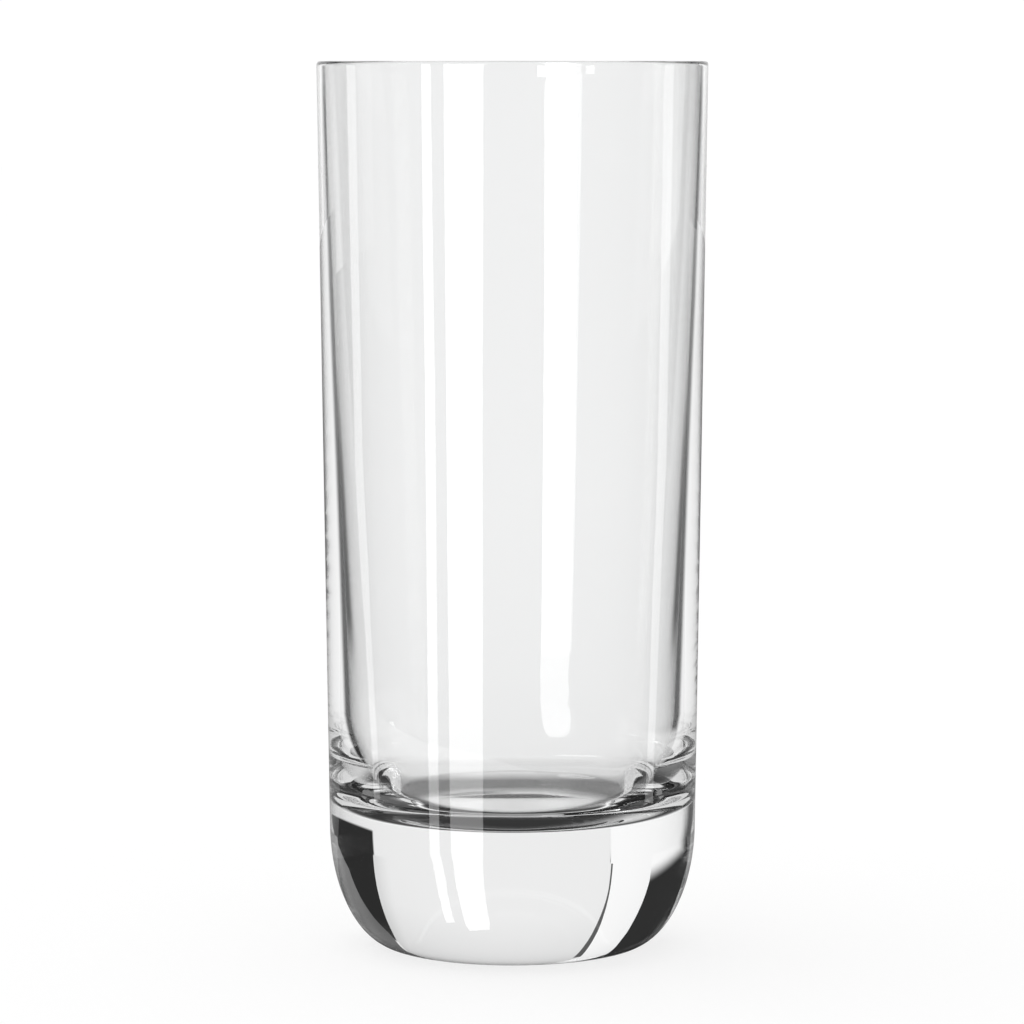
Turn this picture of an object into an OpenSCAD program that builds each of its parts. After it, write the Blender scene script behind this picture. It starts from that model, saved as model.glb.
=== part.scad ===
// Highball tumbler: one piece of clear glass. A long wall leans out a little to the rim, thins
// upwards and ends in a rounded lip. The drink space has a nearly flat floor and a round corner
// over a thick solid base, the heel curves in to the foot ring, and the underside is hollow.
// Millimetres, +Z up. The origin is the middle of the foot ring, on the table.

/* [Outside] */
// Height from the table to the top of the lip
height = 152; // [120:0.5:190]
// Outside diameter that the wall's straight taper reaches at the rim
rim_d = 66.7; // [64:0.1:84]
// Outside diameter that the same taper would reach at the table, without the heel
table_d = 62.4; // [52:0.1:66]

/* [Wall] */
// Thickness of the wall at the rim
rim_wall = 1.2; // [0.8:0.1:2.4]
// Thickness of the wall level with the lowest point of the drink space
low_wall = 4.1; // [3:0.1:7]

/* [Drink space] */
// Thickness of solid glass under the lowest point of the drink space
base_t = 22; // [12:0.2:36]
// How far out the floor's shallow dome reaches, as a share of the inner wall's radius there
floor_reach_share = 0.65; // [0.3:0.01:0.7]
// Slope that the dome has reached at its edge, in degrees
floor_slope = 6.2; // [2:0.1:12]
// Radius of the tight corner outside the dome, as a share of the inner wall's radius there
corner_share = 0.36; // [0.1:0.01:0.36]
// Slope at which the corner gives way to the wide turn up into the wall, in degrees
corner_slope = 73; // [50:1:80]

/* [Heel and foot] */
// Height of the curved heel
heel_h = 20.6; // [6:0.1:32]
// How far the heel curves in from the taper's diameter at the table
heel_in = 11.1; // [5:0.1:20]
// How full the heel's curve is: 0.55 is an ellipse, and more is squarer
heel_share = 0.55; // [0.4:0.01:0.8]
// Width of the flat ring that the glass stands on
foot_w = 2.4; // [1:0.1:5]
// Depth of the hollow inside the foot ring
punt_h = 0.9; // [0.4:0.1:3]

/* [Hidden] */
// Straight steps in each drawn curve, and round the axis
turn_steps = 24;
floor_steps = 8;
arc_steps = 16;
lip_steps = 12;
$fn = 180;

rim_r = rim_d / 2;
table_r = table_d / 2;
foot_r = table_r - heel_in;
// A curve with both handles two thirds of the way to its corner is a parabola
parabola_share = 2 / 3;

// Radius of the outer wall's straight taper at height z
function outer_r(z) = table_r + (rim_r - table_r) * z / height;

// The inner wall's straight taper runs between these two radii
inner_rim_r = rim_r - rim_wall;
inner_low_r = outer_r(base_t) - low_wall;
function inner_r(z) = inner_low_r + (inner_rim_r - inner_low_r) * (z - base_t) / (height - base_t);

// How far each taper leans from upright, in degrees
outer_lean = atan((rim_r - table_r) / height);
inner_lean = atan((inner_rim_r - inner_low_r) / (height - base_t));

// The lip is a round that touches both tapers and the plane of the rim
lip_r = rim_wall / (tan(outer_lean) - tan(inner_lean) + 1 / cos(outer_lean) + 1 / cos(inner_lean));
lip_centre = [outer_r(height - lip_r) - lip_r / cos(outer_lean), height - lip_r];

// The drink space's bottom is three arcs that run into each other: the dome, the corner and a
// wide turn, whose radius is the one that brings it into the straight inner wall
dome_r = floor_reach_share * inner_low_r / sin(floor_slope);
corner_r = corner_share * inner_low_r;
wall_slope = 90 - inner_lean;
corner_start = [dome_r * sin(floor_slope), base_t + dome_r * (1 - cos(floor_slope))];
turn_start = corner_start + corner_r * [sin(corner_slope) - sin(floor_slope),
                                        cos(floor_slope) - cos(corner_slope)];
turn_r = (inner_r(turn_start.y) - turn_start.x) /
    (sin(wall_slope) - sin(corner_slope) - tan(inner_lean) * (cos(corner_slope) - cos(wall_slope)));

// Points of an arc from a, where its slope is the angle from, on to where its slope is the angle to
function arc(a, radius, from, to, steps) =
    [for (i = [0 : steps])
        let (slope = from + (to - from) * i / steps)
        a + radius * [sin(slope) - sin(from), cos(from) - cos(slope)]];

// Points of a smooth turn from a to b between two lines that meet at corner. The handles reach
// a share of the way from their ends to that corner.
function turn(a, corner, b, share) =
    let (p = a + share * (corner - a), q = b + share * (corner - b))
    [for (i = [0 : turn_steps])
        let (t = i / turn_steps, u = 1 - t)
        u * u * u * a + 3 * u * u * t * p + 3 * u * t * t * q + t * t * t * b];

// A list from its last item back to its first, without the first so many
function back(list, first) = [for (i = [len(list) - 1 : -1 : first]) list[i]];

// The outline, from the middle of the underside round to the middle of the drink space's floor
underside = turn([0, punt_h], [(foot_r - foot_w) / 2, punt_h], [foot_r - foot_w, 0],
                 parabola_share);
heel = turn([foot_r, 0], [table_r, 0], [outer_r(heel_h), heel_h], heel_share);
lip = [for (i = [0 : lip_steps])
    let (angle = -outer_lean + (180 + outer_lean - inner_lean) * i / lip_steps)
    lip_centre + lip_r * [cos(angle), sin(angle)]];
floor_dome = arc([0, base_t], dome_r, 0, floor_slope, floor_steps);
corner = arc(corner_start, corner_r, floor_slope, corner_slope, arc_steps);
wide_turn = arc(turn_start, turn_r, corner_slope, wall_slope, arc_steps);

module tumbler() {
    color([0.88, 0.93, 0.94, 0.45])
        rotate_extrude()
            polygon(concat(underside, heel, lip, back(wide_turn, 1), back(corner, 1),
                       back(floor_dome, 0)));
}

tumbler();
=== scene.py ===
"""Highball tumbler: one clear glass on a white table, photographed against a bright backdrop."""

import math

import bmesh
import bpy
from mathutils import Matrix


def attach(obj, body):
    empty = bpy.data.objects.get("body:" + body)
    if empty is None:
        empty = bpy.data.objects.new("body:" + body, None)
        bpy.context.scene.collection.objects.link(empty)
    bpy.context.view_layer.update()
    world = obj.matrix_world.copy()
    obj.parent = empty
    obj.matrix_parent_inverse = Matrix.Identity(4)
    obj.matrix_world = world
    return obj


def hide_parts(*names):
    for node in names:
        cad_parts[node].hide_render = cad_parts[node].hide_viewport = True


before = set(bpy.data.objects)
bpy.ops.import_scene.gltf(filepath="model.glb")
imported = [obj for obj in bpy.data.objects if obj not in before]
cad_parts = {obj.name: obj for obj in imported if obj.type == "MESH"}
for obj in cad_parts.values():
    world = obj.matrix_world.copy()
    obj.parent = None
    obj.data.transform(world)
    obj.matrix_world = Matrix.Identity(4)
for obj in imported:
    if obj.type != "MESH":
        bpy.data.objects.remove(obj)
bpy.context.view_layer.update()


# ---------------------------------------------------------------- tumbler
# One piece of press-and-blown soda-lime glass: a solid base left by the press, a wall blown
# against a turning mould, and a lip and skin melted smooth in the flame. Metres and degrees.
glass_height = 0.152
rim_r, table_r = 0.03335, 0.0312
rim_wall, low_wall, base_t = 0.0012, 0.0041, 0.022
heel_h, heel_in, heel_share = 0.0206, 0.0111, 0.55
foot_w, punt_h, parabola_share = 0.0024, 0.0009, 2 / 3
floor_reach_share, floor_slope = 0.65, 6.2
corner_share, corner_slope = 0.36, 73.0
# Steps in the curves of the outline, and round the axis.
under_steps, heel_steps, lip_steps = 12, 56, 24
dome_steps, corner_steps, wide_steps = 20, 44, 36
steps_around = 256
# Rings on a straight wall. The first and last lie close to its ends and keep its shading straight.
wall_rings = (0.002, 0.25, 0.5, 0.75, 0.998)
merge_gap, level_gap, edge_gap = 1e-7, 1e-6, 1e-5


def arc(start, radius, from_slope, to_slope, steps):
    """Points on an arc that goes on from one slope to another, in degrees."""
    low = math.radians(from_slope)
    points = []
    for i in range(steps + 1):
        slope = math.radians(from_slope + (to_slope - from_slope) * i / steps)
        points.append((start[0] + radius * (math.sin(slope) - math.sin(low)),
                       start[1] + radius * (math.cos(low) - math.cos(slope))))
    return points


def turn(a, corner, b, share, steps):
    """Points of a smooth turn between two lines that meet at the corner."""
    p, q = ([end[k] + share * (corner[k] - end[k]) for k in (0, 1)] for end in (a, b))
    points = []
    for i in range(steps + 1):
        t = i / steps
        u = 1 - t
        points.append(tuple(u ** 3 * a[k] + 3 * u * u * t * p[k] + 3 * u * t * t * q[k]
                            + t ** 3 * b[k] for k in (0, 1)))
    return points


def outer(z):
    """Radius of the outer wall's straight taper at a height."""
    return table_r + (rim_r - table_r) * z / glass_height


inner_rim, inner_low = rim_r - rim_wall, outer(base_t) - low_wall


def inner(z):
    """Radius of the inner wall's straight taper at a height."""
    return inner_low + (inner_rim - inner_low) * (z - base_t) / (glass_height - base_t)


def tumbler_outline():
    """Radius and height of the outline, from the underside's middle round to the floor's middle."""
    sin, cos, tan, rad = math.sin, math.cos, math.tan, math.radians
    foot_r = table_r - heel_in
    hollow_r = foot_r - foot_w
    under = turn((0, punt_h), (hollow_r / 2, punt_h), (hollow_r, 0), parabola_share, under_steps)
    heel = turn((foot_r, 0), (table_r, 0), (outer(heel_h), heel_h), heel_share, heel_steps)
    # The lip is a round that touches both tapers and the plane of the rim.
    outer_lean = math.atan((rim_r - table_r) / glass_height)
    inner_lean = math.atan((inner_rim - inner_low) / (glass_height - base_t))
    lip_r = rim_wall / (tan(outer_lean) - tan(inner_lean)
                        + 1 / cos(outer_lean) + 1 / cos(inner_lean))
    lip_z = glass_height - lip_r
    lip_x = outer(lip_z) - lip_r / cos(outer_lean)
    lip_turn = math.pi + outer_lean - inner_lean
    lip = [(lip_x + lip_r * cos(angle), lip_z + lip_r * sin(angle))
           for angle in (-outer_lean + lip_turn * i / lip_steps for i in range(lip_steps + 1))]
    # The drink space's bottom is a dome, a tight corner and a wide turn into the straight wall.
    wall_slope = 90 - math.degrees(inner_lean)
    dome = arc((0, base_t), floor_reach_share * inner_low / sin(rad(floor_slope)),
               0, floor_slope, dome_steps)
    corner = arc(dome[-1], corner_share * inner_low, floor_slope, corner_slope, corner_steps)
    turn_x, turn_z = corner[-1]
    turn_r = (inner(turn_z) - turn_x) / (
        sin(rad(wall_slope)) - sin(rad(corner_slope))
        - tan(inner_lean) * (cos(rad(corner_slope)) - cos(rad(wall_slope))))
    wide = arc(corner[-1], turn_r, corner_slope, wall_slope, wide_steps)
    outside = [heel_h + (lip_z - heel_h) * share for share in wall_rings]
    inside = [lip[-1][1] + (wide[-1][1] - lip[-1][1]) * share for share in wall_rings]
    return (under + heel + [(outer(z), z) for z in outside] + lip + [(inner(z), z) for z in inside]
            + wide[::-1] + corner[-2::-1] + dome[-2::-1])


def tumbler_mesh():
    """The outline turned round the axis: one closed skin, smooth but for the foot's inner edge."""
    bm = bmesh.new()
    verts = [bm.verts.new((r, 0, z)) for r, z in tumbler_outline()]
    edges = [bm.edges.new(pair) for pair in zip(verts, verts[1:])]
    bmesh.ops.spin(bm, geom=verts + edges, cent=(0, 0, 0), axis=(0, 0, 1), angle=2 * math.pi,
                   steps=steps_around, use_merge=True)
    bmesh.ops.remove_doubles(bm, verts=bm.verts, dist=merge_gap)
    bmesh.ops.recalc_face_normals(bm, faces=bm.faces)
    for face in bm.faces:
        face.smooth = True
    hollow_r = table_r - heel_in - foot_w
    for edge in bm.edges:
        on_table = all(vert.co.z < level_gap for vert in edge.verts)
        if on_table and len(edge.link_faces) == 2:
            edge.smooth = abs(edge.verts[0].co.xy.length - hollow_r) > edge_gap
    return bm


def link(name, bm, mat):
    """Puts a bmesh into the scene as an object at the origin."""
    mesh = bpy.data.meshes.new(name)
    bm.to_mesh(mesh)
    bm.free()
    obj = bpy.data.objects.new(name, mesh)
    bpy.context.scene.collection.objects.link(obj)
    mesh.materials.append(mat)
    return obj


def node(tree, kind, *values):
    """A shader node whose first inputs are joined to sockets or set to numbers."""
    made = tree.nodes.new("ShaderNode" + kind)
    for socket, value in zip(made.inputs, values):
        if isinstance(value, bpy.types.NodeSocket):
            tree.links.new(value, socket)
        else:
            socket.default_value = value
    return made


def maths(tree, kind, *values):
    """What a Math node gives for some sockets and numbers."""
    made = node(tree, "Math", *values)
    made.operation = kind
    return made.outputs[0]


def soft(tree, value, zero, one):
    """0 beyond one value and 1 beyond the other, with a soft step between them."""
    rising = zero < one
    ends = (zero, one, 0.0, 1.0) if rising else (one, zero, 1.0, 0.0)
    made = node(tree, "MapRange", value, *ends)
    made.interpolation_type = "SMOOTHSTEP"
    return made.outputs[0]


def times(tree, first, *others):
    """The product of several sockets or numbers."""
    for other in others:
        first = maths(tree, "MULTIPLY", first, other)
    return first


def place(tree):
    """Where a surface point lies: its x, its y, its height and its distance from the axis."""
    xyz = node(tree, "SeparateXYZ", node(tree, "TexCoord").outputs["Object"]).outputs
    squares = (times(tree, xyz[0], xyz[0]), times(tree, xyz[1], xyz[1]))
    return xyz[0], xyz[1], xyz[2], maths(tree, "SQRT", maths(tree, "ADD", *squares))


def noise(tree, scale, detail, stretch):
    """A noise through the object, with its share of the scale along the height."""
    coords = node(tree, "TexCoord").outputs["Object"]
    squash = node(tree, "Mapping", coords)
    squash.inputs["Scale"].default_value = (1, 1, stretch)
    made = node(tree, "TexNoise", squash.outputs[0])
    made.inputs["Scale"].default_value = scale
    made.inputs["Detail"].default_value = detail
    return made.outputs[0]


glass_tint, glass_bend = (0.985, 0.987, 0.987, 1), 1.52

clear = bpy.data.materials.new("clear_glass")
clear.use_nodes = True
shader = clear.node_tree.nodes["Principled BSDF"]
shader.inputs["Base Color"].default_value = glass_tint
shader.inputs["Roughness"].default_value = 0.0
shader.inputs["IOR"].default_value = glass_bend
shader.inputs["Transmission Weight"].default_value = 1.0
# The skin keeps a faint wave from the flame and the turning mould, and the corner of the drink
# space a mild crumple where the plunger chilled the hot glass.
wave_scale, wave_detail, wave_stretch = 55.0, 1.0, 0.3
crumple_scale, crumple_detail, crumple_stretch, crumple_share = 140.0, 0.0, 1.0, 1.4
wave_depth = 0.00003
# Heights and radii over which the crumple comes in and goes again.
corner_bottom, corner_top = (0.0205, 0.0225), (0.040, 0.031)
corner_near, corner_far = (0.0165, 0.0215), (0.0296, 0.0290)

skin = clear.node_tree
_, _, skin_z, skin_r = place(skin)
in_corner = times(skin, soft(skin, skin_z, *corner_bottom), soft(skin, skin_z, *corner_top),
                  soft(skin, skin_r, *corner_near), soft(skin, skin_r, *corner_far))
crumple = times(skin, noise(skin, crumple_scale, crumple_detail, crumple_stretch), in_corner,
                crumple_share)
wave = node(skin, "Bump")
wave.inputs["Strength"].default_value = 1.0
wave.inputs["Distance"].default_value = wave_depth
skin.links.new(maths(skin, "ADD", noise(skin, wave_scale, wave_detail, wave_stretch), crumple),
               wave.inputs["Height"])
skin.links.new(wave.outputs[0], shader.inputs["Normal"])

glass = link("tumbler_glass", tumbler_mesh(), clear)
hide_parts("tumbler")
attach(glass, "root")


# ---------------------------------------------------------------- table
# A seamless white table top of painted board that keeps a soft shadow. Seen through the glass it
# glows with painted light and shade: white between painted dark where the surroundings are dark,
# with a painted shadow in the ring under the foot. Light that the glass has mirrored finds it
# painted dark close to the foot and white further back.
table_size, table_sides = 6.0, 96
table_paint, table_glow_share = 0.9, 0.8
# Each pair below is where a soft step starts and where it is full: across the middle line, by
# bearing, by distance from the axis, or by another measure that its name tells.
middle_step = (-0.001, 0.001)


def rest_of(tree, value):
    """What is left of 1."""
    return maths(tree, "SUBTRACT", 1.0, value)


def ramp(tree, value, stops):
    """Grey levels along a value."""
    made = node(tree, "ValToRGB", value)
    marks = made.color_ramp.elements
    while len(marks) < len(stops):
        marks.new(0.5)
    for mark, (position, grey) in zip(marks, stops):
        mark.position = position
        mark.color = (grey, grey, grey, 1)
    return made.outputs[0]


def bearing_of(tree, x, y):
    """The angle from +Y towards +X, in radians."""
    return maths(tree, "ARCTAN2", x, y)


def radians(*degrees):
    """Several angles in radians."""
    return tuple(math.radians(angle) for angle in degrees)


def bare_material(name):
    """A material with nothing in it but an output. Gives the material, its tree and the output."""
    mat = bpy.data.materials.new(name)
    mat.use_nodes = True
    mat.node_tree.nodes.clear()
    return mat, mat.node_tree, node(mat.node_tree, "OutputMaterial")


table_mat, tree, out = bare_material("table_white")
path = node(tree, "LightPath").outputs
x, y, _, radius = place(tree)
side = maths(tree, "ABSOLUTE", x)
on_right = soft(tree, x, *middle_step)

# Light has crossed more than three faces where it comes through the thin walls.
base_crossings = 3.0
through_wall = maths(tree, "GREATER_THAN", path["Transmission Depth"], base_crossings)
through_base = rest_of(tree, through_wall)

# Painted shade straight through the base: dark beyond the backdrop's edge on the right, and far
# out on the left.
backdrop_half_w = 0.029
right_edge, left_edge, shade_end = radians(37.2, 38.0), radians(54, 66), radians(75, 71)
flag_lean, flag_line = 1.125, (0.300, 0.322)
shade_share = 0.97
bearing = bearing_of(tree, maths(tree, "ADD", side, backdrop_half_w), y)
past_flag = soft(tree, maths(tree, "MULTIPLY_ADD", x, flag_lean, y), *flag_line)
edge_right = times(tree, on_right, soft(tree, bearing, *right_edge), past_flag)
edge_left = times(tree, rest_of(tree, on_right), soft(tree, bearing, *left_edge))
shade = times(tree, maths(tree, "ADD", edge_right, edge_left), soft(tree, bearing, *shade_end),
              through_base, shade_share)

# Painted shadow: the foot keeps the light off the table close by. Scaled distance, and the level
# there.
contact_shadow_scale = 10.0
contact_shadow_stops = [(0.0, 0.72), (0.1, 0.84), (0.17, 0.75), (0.21, 0.32), (0.24, 0.12),
                 (0.295, 0.14), (0.345, 0.78), (0.6, 1.0)]
painted_contact_shadow = ramp(tree, times(tree, radius, contact_shadow_scale), contact_shadow_stops)

# The table is whiter left of the backdrop's seam, which shows as a thin dark line.
white, right_loss = 1.06, 0.13
seam_x, seam_y, seam_along_x, seam_along_y = 0.060, 0.188, 0.9219, 0.3875
seam_dark_share, seam_line, seam_start = 0.75, (0.0022, 0.0006), (0.16, 1.0)
wall_tone_stops = [(0.0, 0.93), (0.2, 0.96), (0.4, 0.985), (0.65, 1.0), (1.0, 1.0)]
off_seam = maths(tree, "ADD", times(tree, maths(tree, "ADD", x, seam_x), seam_along_x),
                 times(tree, maths(tree, "SUBTRACT", y, seam_y), seam_along_y))
base_tone = maths(tree, "SUBTRACT", white,
                  times(tree, soft(tree, off_seam, *middle_step), right_loss))
wall_tone = times(tree, through_wall, ramp(tree, radius, wall_tone_stops), white)
tone = maths(tree, "MAXIMUM", base_tone, wall_tone)
seam_dark = times(tree, soft(tree, maths(tree, "ABSOLUTE", off_seam), *seam_line),
                  through_base, soft(tree, radius, *seam_start), seam_dark_share)

# Painted shade through the edges of the wall: a dark band on the table for the dark surroundings.
grazing_share = 0.8
band_inside, band_outside = radians(23, 30), radians(40, 36)
band_near, band_far = (0.27, 0.36), (0.9, 0.6)
out_wide = bearing_of(tree, side, y)
painted_grazing_shade = times(tree, through_wall, soft(tree, out_wide, *band_inside),
                soft(tree, out_wide, *band_outside), soft(tree, radius, *band_near),
                soft(tree, radius, *band_far), grazing_share)
straight = times(tree, painted_contact_shadow, tone, rest_of(tree, shade), rest_of(tree, painted_grazing_shade),
                 rest_of(tree, seam_dark))

# Painted light for what the glass mirrors: white further back between two edges that draw in
# with distance. Scaled distance, and half the white's width as an angle in radians.
limit_scale = 0.4
white_limit = [(0.0, 0.76), (0.07, 0.745), (0.12, 0.705), (0.2, 0.665), (0.3, 0.61),
               (0.42, 0.555), (0.6, 0.515), (0.9, 0.475)]
white_half_w, white_edge = 0.030, (0.04, -0.09)
clear_of_foot, behind_middle = (0.032, 0.085), (0.0, 0.03)
wall_loss, wall_loss_reach = 0.85, (1.1, 0.45)
beyond = times(tree, soft(tree, radius, *clear_of_foot), soft(tree, y, *behind_middle))
spread = bearing_of(tree, maths(tree, "SUBTRACT", side, white_half_w), y)
limit = ramp(tree, times(tree, radius, limit_scale), white_limit)
between = soft(tree, maths(tree, "SUBTRACT", spread, limit), *white_edge)
dimmer = times(tree, through_wall, soft(tree, radius, *wall_loss_reach), wall_loss)
lit_back = times(tree, beyond, between, rest_of(tree, dimmer))

# Painted light: a lit patch to the right of the foot, and a painted image of the wide softbox's
# foot, which shows in the wall.
patch_level, softbox_level, dark_level = 0.7, 4.0, 0.04
patch_side, patch_back, patch_reach = (0.004, 0.019), (-0.010, 0.014), (0.15, 0.11)
box_left, box_right, box_near = (-158.9, -158.4), (-135.8, -136.4), (0.22, 0.26)
patch = times(tree, soft(tree, x, *patch_side), soft(tree, y, *patch_back),
              soft(tree, radius, *patch_reach), patch_level)
turned = maths(tree, "DEGREES", bearing_of(tree, x, y))
painted_softbox_foot = times(tree, soft(tree, turned, *box_left), soft(tree, turned, *box_right),
                     soft(tree, radius, *box_near), through_wall, softbox_level)
brightest = maths(tree, "MAXIMUM", maths(tree, "MAXIMUM", lit_back, patch), painted_softbox_foot)
thrown = maths(tree, "ADD", brightest, dark_level)

mirrored = maths(tree, "MINIMUM", path["Glossy Depth"], 1.0)
level = maths(tree, "ADD", times(tree, mirrored, thrown),
              times(tree, rest_of(tree, mirrored), straight))
through = node(tree, "Emission")
tree.links.new(level, through.inputs["Strength"])
paint = node(tree, "BsdfDiffuse", (table_paint, table_paint, table_paint, 1))
bright = node(tree, "Emission")
seen = node(tree, "MixShader", table_glow_share, paint.outputs[0], bright.outputs[0])
pick = node(tree, "MixShader", path["Is Transmission Ray"], seen.outputs[0], through.outputs[0])
tree.links.new(pick.outputs[0], out.inputs["Surface"])

bm = bmesh.new()
bmesh.ops.create_circle(bm, cap_ends=True, segments=table_sides, radius=table_size)
table = link("table", bm, table_mat)
table.visible_glossy = False


# ---------------------------------------------------------------- backdrop
# A curved white paper backdrop behind the glass, in two sheets that meet at a grey seam left of
# the middle. It is a little darker towards its top and its right edge.
backdrop_far, seam_far, card_steps = 3.0, 2.9, 8
# Each row of a card is an elevation, and the two azimuths between which the card lies there.
backdrop_rows = [(-1, -22.8, 37.6), (12, -22.6, 38.2), (17, -21.6, 38.1), (20, -21.2, 37.8),
                 (23, -20.4, 37.5), (26, -19.4, 37.0), (30, -18.0, 35.8), (36, -15.5, 34),
                 (50, -9, 30)]
whiter_rows = [(-1, -38.0, -22.8), (7, -38.2, -22.8), (12, -37.3, -22.6), (16.4, -36.2, -21.7),
               (21.7, -34.6, -20.8), (24.6, -33.2, -19.8), (28.5, -31.7, -18.5),
               (36, -28, -15.5), (50, -21, -9)]
seam_rows = [(-1, -23.2, -22.7), (6, -23.2, -22.7), (8.5, -23.1, -22.5), (10.6, -23.0, -22.2),
             (12.9, -22.8, -21.8), (15.3, -22.6, -21.3), (18, -22.2, -20.7), (20.7, -21.6, -19.9),
             (24, -20.7, -18.7), (30, -19, -16.6)]
# Scaled height, and the level there.
fall_scale = 0.333
fall_stops = [(0.0, 0.93), (0.2, 0.93), (0.36, 0.875), (0.47, 0.84), (0.58, 0.78), (0.9, 0.6)]
right_edge_loss, low_corner_loss, seam_level = 0.14, 0.95, 0.12
# Bearings and heights over which those losses come in.
right_edge_step, low_corner_step, low_corner_top = (30.5, 38.0), (25.5, 31.0), (0.16, 0.08)


def at(azimuth, elevation, far):
    """The point seen from the glass in a direction. Azimuth 0 is +Y and 90 is +X."""
    a, e = radians(azimuth, elevation)
    return math.sin(a) * far, math.cos(a) * far, math.tan(e) * far


def panel(name, rows, far, mat, steps=card_steps, glossy=True, transmission=True):
    """An upright curved card round the glass, seen only in the glass."""
    bm = bmesh.new()
    grid = [[bm.verts.new(at(start + (end - start) * i / steps, elevation, far))
             for i in range(steps + 1)] for elevation, start, end in rows]
    for low, high in zip(grid, grid[1:]):
        for i in range(steps):
            bm.faces.new((low[i], low[i + 1], high[i + 1], high[i]))
    return stage_card(link(name, bm, mat), glossy, transmission)


def stage_card(card, glossy, transmission):
    """Sets which rays meet a card."""
    card.visible_camera = card.visible_diffuse = card.visible_shadow = False
    card.visible_glossy, card.visible_transmission = glossy, transmission
    return card


# Straight through the thin walls every card is white, and light long mirrored in the base finds
# them light. Other light that was mirrored more than once finds them dimmer. The counts stand
# between two whole numbers of mirrorings.
never, once, seven_times = 0.5, 1.5, 7.5
trapped_level, twice_loss = 0.78, 0.45
walls = bpy.data.node_groups.new("white_through_walls", "ShaderNodeTree")
for socket_name in ("Level", "Crossings", "Mirrorings"):
    walls.interface.new_socket(socket_name, in_out="INPUT", socket_type="NodeSocketFloat")
walls.interface.new_socket("Level", in_out="OUTPUT", socket_type="NodeSocketFloat")
given, result = walls.nodes.new("NodeGroupInput"), walls.nodes.new("NodeGroupOutput")
crossings, mirrorings = given.outputs["Crossings"], given.outputs["Mirrorings"]
through = times(walls, maths(walls, "GREATER_THAN", crossings, base_crossings),
                maths(walls, "LESS_THAN", mirrorings, never))
trapped = maths(walls, "GREATER_THAN", mirrorings, seven_times)
others = maths(walls, "SUBTRACT", rest_of(walls, through), trapped)
twice = maths(walls, "GREATER_THAN", mirrorings, once)
own = times(walls, given.outputs["Level"], others, rest_of(walls, times(walls, twice, twice_loss)))
set_level = maths(walls, "ADD", times(walls, through, white), times(walls, trapped, trapped_level))
walls.links.new(maths(walls, "ADD", own, set_level), result.inputs[0])


def lit_material(name, strength=1.0):
    """A light-giving material. Gives the material, its tree and the inputs of its Emission."""
    mat, tree, out = bare_material(name)
    emission = node(tree, "Emission")
    emission.inputs["Strength"].default_value = strength
    tree.links.new(emission.outputs[0], out.inputs["Surface"])
    return mat, tree, emission.inputs


def card_level(tree, emission, level):
    """Sets how bright a card is, apart from what is seen through the walls."""
    light = node(tree, "LightPath").outputs
    group = node(tree, "Group")
    group.node_tree = walls
    tree.links.new(light["Transmission Depth"], group.inputs["Crossings"])
    tree.links.new(light["Glossy Depth"], group.inputs["Mirrorings"])
    if isinstance(level, float):
        group.inputs["Level"].default_value = level
    else:
        tree.links.new(level, group.inputs["Level"])
    tree.links.new(group.outputs[0], emission["Color"])


def plain_card(name, level):
    """A card material of one level."""
    mat, tree, emission = lit_material(name)
    card_level(tree, emission, level)
    return mat


def bearing_and_height(tree):
    """How many degrees a point lies to either side of +Y, and its height."""
    x, y, z, _ = place(tree)
    return maths(tree, "ABSOLUTE", maths(tree, "DEGREES", bearing_of(tree, x, y))), z


def without_low_corner(tree, bearing, height):
    """All but the card's low outer corner, which mirrored light finds dark."""
    mirrored = maths(tree, "MINIMUM", node(tree, "LightPath").outputs["Glossy Depth"], 1.0)
    return rest_of(tree, times(tree, mirrored, soft(tree, bearing, *low_corner_step),
                               soft(tree, height, *low_corner_top), low_corner_loss))


backdrop_mat, tree, emission = lit_material("backdrop_white")
bearing, height = bearing_and_height(tree)
edge_loss = times(tree, soft(tree, bearing, *right_edge_step), right_edge_loss)
fall = ramp(tree, times(tree, height, fall_scale), fall_stops)
card_level(tree, emission, times(tree, fall, rest_of(tree, edge_loss),
                                 without_low_corner(tree, bearing, height)))
panel("backdrop", backdrop_rows, backdrop_far, backdrop_mat, steps=16)

whiter_mat, tree, emission = lit_material("backdrop_whiter")
card_level(tree, emission, times(tree, without_low_corner(tree, *bearing_and_height(tree)), white))
panel("backdrop_left", whiter_rows, backdrop_far, whiter_mat, steps=4)
panel("seam", seam_rows, seam_far, plain_card("seam_grey", seam_level), steps=1)


# ---------------------------------------------------------------- flags
# Stiff boards on stands at both edges of the backdrop: a black flag on each side to darken the
# glass's edges, the left one white towards its foot, and a grey board beyond each.
flag_far, grey_far = 2.8, 2.9
black_level, left_grey_level = 0.025, 0.45
flag_right_rows = [(-1, 37.6, 67), (2, 37.7, 66), (4, 37.8, 62), (7, 37.9, 56), (12, 38.2, 53),
                   (15, 38.2, 51), (20, 37.8, 46), (24, 37.4, 40), (27, 37, 37.2)]
grey_right_rows = [(-1, 38, 90), (27, 38, 90), (36, 34, 90), (50, 30, 90)]
flag_left_rows = [(-1, -73, -38.0), (7, -73, -38.2), (12, -71, -37.3), (16.4, -70, -36.2),
                  (21.7, -70, -34.6), (24.6, -70, -33.2), (28.5, -70, -31.7), (36, -70, -28),
                  (50, -70, -21)]
grey_left_rows = [(-1, -90, -73), (7, -90, -73), (12, -90, -71), (17, -90, -70)]
# Scaled and shifted bearing in degrees, and the level there.
grey_scale, grey_shift = 0.02, -0.8
grey_stops = [(0.0, 0.14), (0.12, 0.17), (0.28, 0.25), (0.4, 0.28), (0.52, 0.4), (1.0, 0.4)]
# How fast the left flag's white foot sinks with each degree outwards.
foot_sink, foot_top, foot_end = 0.0063, (0.36, 0.64), (54, 66)
foot_white, foot_fall = 1.10, 1.07

panel("flag_right", flag_right_rows, flag_far, plain_card("flag_black", black_level))

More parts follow.
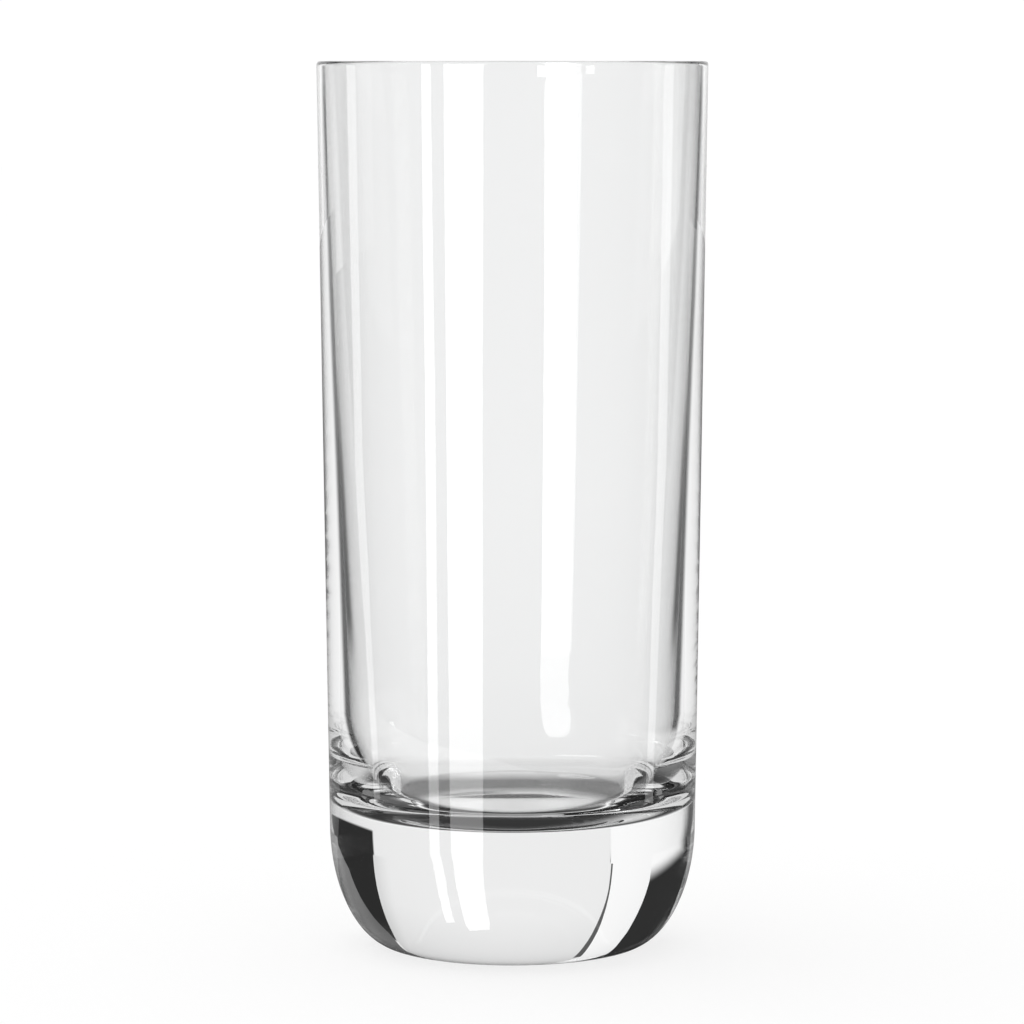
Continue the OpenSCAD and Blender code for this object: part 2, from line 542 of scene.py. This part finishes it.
grey_mat, tree, emission = lit_material("panel_grey")
bearing, _ = bearing_and_height(tree)
along = maths(tree, "MULTIPLY_ADD", bearing, grey_scale, grey_shift)
card_level(tree, emission, ramp(tree, along, grey_stops))
panel("panel_right", grey_right_rows, grey_far, grey_mat)

graded_mat, tree, emission = lit_material("flag_graded")
bearing, height = bearing_and_height(tree)
above_foot = soft(tree, maths(tree, "MULTIPLY_ADD", bearing, foot_sink, height), *foot_top)
dark = maths(tree, "MAXIMUM", above_foot, soft(tree, bearing, *foot_end))
card_level(tree, emission, maths(tree, "SUBTRACT", foot_white, times(tree, dark, foot_fall)))
panel("flag_left", flag_left_rows, backdrop_far, graded_mat)
panel("panel_left", grey_left_rows, backdrop_far, plain_card("panel_left_grey", left_grey_level))


# ---------------------------------------------------------------- sheen
# A painted reflection: a glowing sector, seen only in reflections, that the outside of the glass
# mirrors in place of the table top behind it, greyer close by. It lies just over the table and
# starts outside the foot.
sheen_near, sheen_lift = 0.036, 0.0004
sheen_half_angle, sheen_steps = 50, 24
# Distance as a share of the table's size, and the grey there.
sheen_stops = [(0.0, 0.28), (0.09, 0.27), (0.17, 0.29), (0.26, 0.34), (0.47, 0.52), (0.67, 0.62),
               (1.0, 0.85)]

sheen_mat, tree, emission = lit_material("sheen")
span = maths(tree, "DIVIDE", place(tree)[3], table_size)
tree.links.new(ramp(tree, span, sheen_stops), emission["Color"])
bm = bmesh.new()
rings = []
for far in (sheen_near, table_size):
    angles = [sheen_half_angle * (2 * i / sheen_steps - 1) for i in range(sheen_steps + 1)]
    rings.append([bm.verts.new((*at(angle, 0, far)[:2], sheen_lift)) for angle in angles])
for i in range(sheen_steps):
    bm.faces.new((rings[0][i], rings[0][i + 1], rings[1][i + 1], rings[1][i]))
stage_card(link("sheen", bm, sheen_mat), glossy=True, transmission=False)


# ---------------------------------------------------------------- softboxes
# Two tall fabric softboxes stand in front of the glass, to the left: a narrow one and a wide one.
# What the back of the drink space mirrors of the wide one's rounded top is a painted reflection: a
# glowing card of its own, seen only through the walls. A slim strip light stands on a pole at each
# side.
box_far, slim_far = 1.0, 1.2
slim_level = 2.0
narrow_rows = [(-49, -131.0, -123.0), (-47, -131.1, -123.2), (-41.5, -133.1, -125.7),
               (-35, -134.7, -127.8), (-24, -136.4, -129.3), (-15, -135.9, -129.4),
               (-8, -134.1, -127.4), (0, -133.6, -127.1), (8, -132.3, -126.4), (30, -130, -125)]
wide_rows = [(-58, -157.5, -138.0), (-56, -158.5, -137.3), (-53, -159.9, -137.7),
             (-48, -160.7, -139.7), (-36, -161.2, -142.3), (-14, -161.6, -143.0),
             (-8, -162.1, -141.3), (0, -162.5, -140.6), (8, -163.8, -140.3), (30, -166, -140)]
back_rows = [(-0.5, -158.6, -136.6), (1.85, -158.8, -137.0), (3.4, -159.2, -137.5),
             (5, -159.6, -137.8), (6.5, -158.4, -135.5), (11.6, -157.4, -133.9),
             (14.5, -156.2, -133.5), (16.5, -154.9, -134.2), (18, -153.3, -135.8),
             (19, -151.4, -138), (19.8, -148.8, -141)]
slim_left_rows = [(-8.6, -90, -84.5), (-7.7, -88.5, -83), (-6.4, -86.1, -80.6),
                  (-5.1, -83.7, -78.1), (-3.9, -82.3, -74.7), (-2.7, -79.9, -72.1),
                  (-1.6, -78.2, -70.3), (8, -76, -67)]
slim_right_rows = [(-8.6, 82.3, 89.8), (-7.7, 81.9, 88.3), (-6.4, 80.4, 86.8), (-5.1, 78.9, 86.2),
                   (-3.9, 77.4, 84.8), (-2.7, 75.9, 83.3), (-1.7, 74.1, 82.5), (8, 72, 81)]

box_mat, _, _ = lit_material("softbox", softbox_level)
panel("strip_narrow", narrow_rows, box_far, box_mat, steps=1, transmission=False)
panel("strip_wide", wide_rows, box_far, box_mat, steps=3, transmission=False)

# A painted reflection of the wide softbox's top, lit only for light that came through the walls.
back_reflection_mat, tree, emission = lit_material("painted_softbox_reflection")
crossed = node(tree, "LightPath").outputs["Transmission Depth"]
tree.links.new(times(tree, maths(tree, "GREATER_THAN", crossed, base_crossings), softbox_level),
               emission["Strength"])
panel("strip_back_reflection", back_rows, backdrop_far, back_reflection_mat, steps=3, glossy=False)

slim_mat, _, _ = lit_material("strip_slim", slim_level)
panel("strip_left", slim_left_rows, slim_far, slim_mat, steps=1, transmission=False)
panel("strip_right", slim_right_rows, slim_far, slim_mat, steps=1, transmission=False)


# ---------------------------------------------------------------- room
# The room's light: white behind the object for the camera and straight through the glass, black
# where the glass mirrors it, and dim on the table. A broad soft lamp overhead lights the table.
room_trapped_level, room_table_level, room_dark_level = 0.75, 0.6, 0.02
lamp_width, lamp_tilt = math.radians(70), radians(-8, -12, 0)
lamp_energy = 1.7

world = bpy.data.worlds.new("studio")
bpy.context.scene.world = world
world.use_nodes = True
tree = world.node_tree
tree.nodes.clear()
path = node(tree, "LightPath").outputs
unmirrored = maths(tree, "LESS_THAN", path["Glossy Depth"], never)
trapped = maths(tree, "GREATER_THAN", path["Glossy Depth"], seven_times)
in_glass = maths(tree, "ADD", unmirrored, times(tree, trapped, room_trapped_level))
direct = maths(tree, "MULTIPLY_ADD", path["Is Transmission Ray"], in_glass, path["Is Camera Ray"])
room_level = maths(tree, "MULTIPLY_ADD", path["Is Diffuse Ray"], room_table_level, direct)
background = node(tree, "Background", (1, 1, 1, 1), maths(tree, "ADD", room_level, room_dark_level))
tree.links.new(background.outputs[0], node(tree, "OutputWorld").inputs["Surface"])

lamp_data = bpy.data.lights.new("overhead", "SUN")
lamp_data.angle = lamp_width
lamp_data.energy = lamp_energy
lamp = bpy.data.objects.new("overhead", lamp_data)
bpy.context.scene.collection.objects.link(lamp)
lamp.rotation_euler = lamp_tilt
lamp.visible_camera = lamp.visible_glossy = lamp.visible_transmission = False


# ---------------------------------------------------------------- camera
# The lens stands 0.8 m in front of the glass, at the height of its rim, and looks down a little.
pitch, away = math.radians(5.481), 0.8069
aim_x, aim_z = -0.00007, 0.07492
sensor_w, lens_in_widths = 36, 4700 / 1024

cam_data = bpy.data.cameras.new("camera")
cam_data.sensor_width = sensor_w
cam_data.lens = sensor_w * lens_in_widths
cam = bpy.data.objects.new("camera", cam_data)
bpy.context.scene.collection.objects.link(cam)
cam.location = (aim_x, -away * math.cos(pitch), aim_z + away * math.sin(pitch))
cam.rotation_euler = (math.radians(90) - pitch, 0, 0)
bpy.context.scene.camera = cam
bpy.context.scene.view_settings.view_transform = "Standard"
# Light is thrown about many times inside a thick base before it leaves.
light_bounces, mirror_bounces = 64, 56
cycles = bpy.context.scene.cycles
cycles.max_bounces = cycles.transmission_bounces = light_bounces
cycles.glossy_bounces = mirror_bounces
